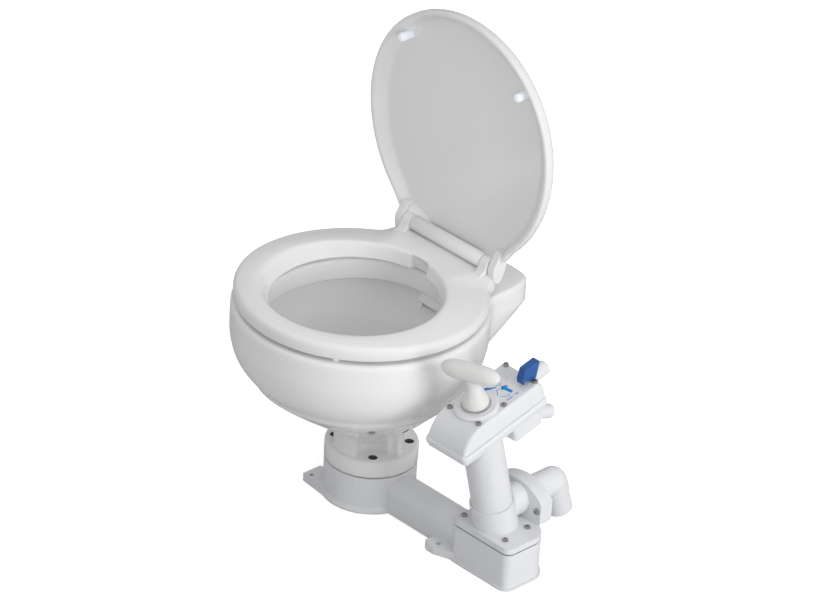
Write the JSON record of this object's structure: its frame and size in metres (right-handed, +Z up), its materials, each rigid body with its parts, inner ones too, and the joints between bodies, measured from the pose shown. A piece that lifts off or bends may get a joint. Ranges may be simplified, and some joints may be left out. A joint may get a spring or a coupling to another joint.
{
  "type": "manual marine toilet",
  "caption": "Compact white marine toilet: round ceramic bowl with seat and lid on a deck base, and a leaning hand pump with T-handle, flush lever and discharge elbow.",
  "frame": {"origin": "on the deck plane, under the middle of the bowl's outlet and round base", "axes": "+X from the bowl towards the hand pump, -Y towards the front of the bowl, +Z up"},
  "size_m": [0.488, 0.4134, 0.6874],
  "materials": {
    "ceramic": "gloss",
    "seat_plastic": "gloss",
    "hinge_plastic": "satin",
    "clear_rubber": "satin",
    "pump_plastic": "satin",
    "grip_plastic": "gloss",
    "blue_plastic": "gloss",
    "grey_plastic": "matte",
    "steel": "brushed",
    "rubber": "matte",
    "brass": "satin"
  },
  "bodies": {
    "toilet_frame": {"base": "pump_plastic", "bowl_seal": "rubber", "bowl": "ceramic", "bowl_bolts": "steel", "bowl_washers": "steel", "bowl_nuts": "steel", "inlet_seal": "rubber", "inlet_elbow": "pump_plastic", "hinge_barrel": "hinge_plastic", "hinge_pins": "steel", "hinge_bolts": "steel", "hinge_washers": "steel", "hinge_wing_nuts": "grey_plastic", "valve_gasket": "rubber", "lower_housing": "pump_plastic", "plate_screws": "steel", "joker_valve": "rubber", "discharge_retainer": "pump_plastic", "elbow_seal": "rubber", "discharge_screws": "steel", "pump_cylinder": "pump_plastic", "seal_lower": "rubber", "seal_upper": "rubber", "head_body": "pump_plastic", "top_gasket": "rubber", "valve_cover": "pump_plastic", "cover_screws": "steel", "rod_seal": "rubber", "rod_bush": "grey_plastic", "handle_collar": "pump_plastic", "lever_seal": "rubber"},
    "seat_unit": {"seat": "seat_plastic", "seat_lugs": "seat_plastic", "seat_bumpers": "clear_rubber"},
    "lid_unit": {"lid": "seat_plastic", "lid_lugs": "seat_plastic", "lid_bumpers": "clear_rubber"},
    "piston_unit": {"piston": "grey_plastic", "piston_rings": "rubber"},
    "handle_unit": {"piston_rod": "steel", "handle_grip": "grip_plastic", "piston_washer": "steel", "piston_nut": "steel"},
    "lever_unit": {"flow_lever": "blue_plastic", "lever_spindle": "grey_plastic"},
    "elbow_unit": {"discharge_elbow": "pump_plastic"},
    "flap_unit": {"valve_flap": "rubber", "flap_weight": "brass"}
  },
  "joints": [
    {"name": "lid_hinge", "type": "hinge", "parent": "toilet_frame", "child": "lid_unit", "pos_m": [0, 0.1252, 0.3502], "axis": [1, 0, 0], "range_deg": [0, 90]},
    {"name": "seat_hinge", "type": "hinge", "parent": "toilet_frame", "child": "seat_unit", "pos_m": [0, 0.1252, 0.3502], "axis": [1, 0, 0], "range_deg": [-90, 0]},
    {"name": "pump_stroke", "type": "slide", "parent": "toilet_frame", "child": "piston_unit", "axis": [0, -0.2588, 0.9659], "range_m": [0, 0.09]},
    {"name": "handle_twist", "type": "hinge", "parent": "piston_unit", "child": "handle_unit", "pos_m": [0.2451, 0.0188, 0], "axis": [0, -0.2588, 0.9659], "range_deg": [0, 90]},
    {"name": "flow_lever_turn", "type": "hinge", "parent": "toilet_frame", "child": "lever_unit", "pos_m": [0.2581, 0.09511, 0.02045], "axis": [0, -0.2588, 0.9659], "range_deg": [0, 75]},
    {"name": "elbow_swivel", "type": "hinge", "parent": "toilet_frame", "child": "elbow_unit", "pos_m": [0.2451, 0.06, 0.092], "axis": [0, 1, 0], "range_deg": [-100, 100]},
    {"name": "base_flap_swing", "type": "hinge", "parent": "toilet_frame", "child": "flap_unit", "pos_m": [0.2451, 0.02306, 0.056], "axis": [-1, 0, 0], "range_deg": [0, 40]}
  ]
}
